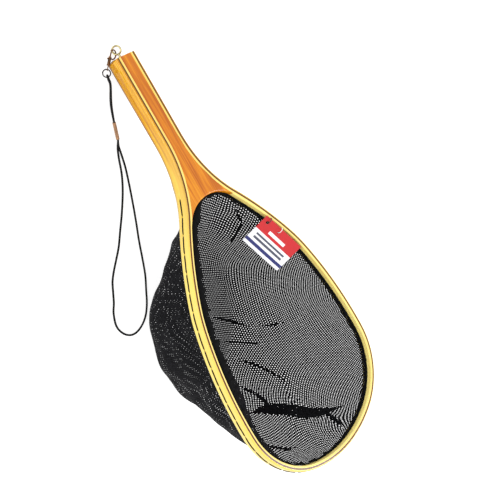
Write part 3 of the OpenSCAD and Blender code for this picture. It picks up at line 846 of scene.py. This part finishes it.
# ----------------------------------------------------------------- hardware
for node, mat in (
    ("screw_eye", eye_mat),
    ("snap_body", bronze_mat),
    ("snap_bolt", bronze_mat),
    ("snap_swivel", bronze_mat),
    ("lanyard_ring", black_mat),
    ("ferrule", ferrule_mat),
    ("tag_tie", tie_mat),
    ("tag_pin", pin_mat),
):
    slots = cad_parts[node].data.materials
    slots.clear()
    slots.append(mat)

# --------------------------------------------------------------------- card
TAG_AT = np.array([234.8, 62.3, 2.4])
TAG_TURN, TAG_SLOPE = math.radians(22), math.radians(41.6)
TAG_W, TAG_H = 61.0, 41.0
TAG_FACES = (0.15, 0.65)  # heights of the card's back and front
TAG_BOW = 1.2
TAG_HOLES = ((7, -6, 2.0), (26, -6, 1.1))  # x, y, radius
NX, NY = 62, 42


def on_tag(p):
    """From the card's own axes to the row frame."""
    p = np.asarray(p, float)
    c, s = math.cos(TAG_SLOPE), math.sin(TAG_SLOPE)
    y, z = p[..., 1] * c - p[..., 2] * s, p[..., 1] * s + p[..., 2] * c
    c, s = math.cos(TAG_TURN), math.sin(TAG_TURN)
    return lay(np.stack([p[..., 0] * c - y * s, p[..., 0] * s + y * c, z], -1) + TAG_AT, slim=0.0)


def card_material():
    """Plain blocks and bars. The attribute card runs from 0 to 1 across (x) and up (y)."""
    m = Mat("card_print")
    at = m.attr("card")
    xyz = m.node("ShaderNodeSeparateXYZ", {0: at}).outputs
    red, white, navy, ink = srgb((196, 8, 22)), srgb((240, 240, 244)), srgb((18, 28, 104)), srgb((70, 74, 92))

    def switch(along, ends):
        """1 from the first place along an axis to the second, 0 to the next, and so on."""
        return m.ramp(xyz[along], [(0.0, (0,) * 3)] + [(p, ((i + 1) % 2,) * 3) for i, p in enumerate(ends)], "CONSTANT")

    col = m.ramp(xyz["Y"], [(0.0, white), (0.09, navy), (0.19, white), (0.54, red)], "CONSTANT")
    for rows, cols, bar in (((0.63, 0.73), (0.28, 0.72), white), ((0.27, 0.34, 0.40, 0.46), (0.10, 0.88), ink)):
        both = m.mix(1.0, switch("Y", rows), switch("X", cols), "MULTIPLY")
        col = m.mix(both, col, bar)
    fibres = m.noise(at, (9, 9, 9))
    shade = m.ramp(fibres, [(0.3, (0.93,) * 3), (0.7, WHITE)])
    m.bump(fibres, 0.05, 0.0005)
    col = m.mix(1.0, col, shade, "MULTIPLY")
    return m.set(Base_Color=col, Roughness=0.35, Coat_Weight=0.4, Coat_Roughness=0.2)


def card():
    """The card: a back and a front grid with the holes left out, and walls along every edge."""
    gx, gy = np.meshgrid(np.linspace(0, TAG_W, NX), np.linspace(-TAG_H, 0, NY), indexing="ij")
    bow = TAG_BOW * np.sin(gx / TAG_W * math.pi) * (gy / TAG_H) ** 2
    verts = np.concatenate([np.stack([gx, gy, z + bow], -1).reshape(-1, 3) for z in TAG_FACES])
    up = NX * NY  # from a point of the back to the one above it
    back = []
    for f in grid_faces(NX, NY, flip=True).tolist():
        mid = verts[f].mean(0)
        if all(math.hypot(mid[0] - x, mid[1] - y) > r for x, y, r in TAG_HOLES):
            back.append(f)
    front = [[i + up for i in f[::-1]] for f in back]
    edges = {(f[i], f[(i + 1) % 4]) for f in back for i in range(4)}
    border = sorted(e for e in edges if (e[1], e[0]) not in edges)
    walls = [[b, a, a + up, b + up] for a, b in border]
    faces = back + front + walls
    # the jagged edges of the holes become round
    for i in {i for e in border for i in e} | {i + up for e in border for i in e}:
        for x, y, r in TAG_HOLES:
            far = math.hypot(verts[i, 0] - x, verts[i, 1] - y)
            if far < r + 1.2:
                verts[i, :2] = x + (verts[i, 0] - x) / far * r, y + (verts[i, 1] - y) / far * r
    used, renumbered = np.unique(np.array(faces), return_inverse=True)
    verts = verts[used]
    across = np.stack([verts[:, 0] / TAG_W, 1 + verts[:, 1] / TAG_H, verts[:, 2] * 0], 1)
    faces = renumbered.reshape(-1, 4)
    put("card", on_tag(verts), faces, "tag", card_material(), {"card": across}, replaces=["hang_tag"])


card()

# -------------------------------------------------------------------- stage
bpy.ops.mesh.primitive_plane_add(size=12, location=(0, 0, -0.0004))
floor = bpy.context.object
floor.name = "floor"
floor.data.materials.append(
    Mat("floor").set(
        Base_Color=(0.5, 0.5, 0.5, 1),
        Roughness=0.9,
        Emission_Color=(1, 1, 1, 1),
        Emission_Strength=0.78,
        Specular_IOR_Level=0.0,
    )
)

scene = bpy.context.scene
scene.view_settings.view_transform = "Standard"
world = bpy.data.worlds.new("studio")
scene.world = world
world.use_nodes = True
sky = world.node_tree.nodes["Background"]
sky.inputs["Color"].default_value = (1, 1, 1, 1)
sky.inputs["Strength"].default_value = 0.95


def area(name, at, size, power):
    """An area light that looks at the middle of the object."""
    light = bpy.data.lights.new(name, "AREA")
    light.size = size
    light.energy = power
    ob = bpy.data.objects.new(name, light)
    scene.collection.objects.link(ob)
    ob.location = at
    ob.rotation_mode = "QUATERNION"
    ob.rotation_quaternion = (Vector((0, 0, 0.05)) - Vector(at)).to_track_quat("-Z", "Y")


area("key", (0.9, 0.6, 1.5), 0.9, 22)
area("side", (-0.6, -1.3, 0.7), 0.8, 8)
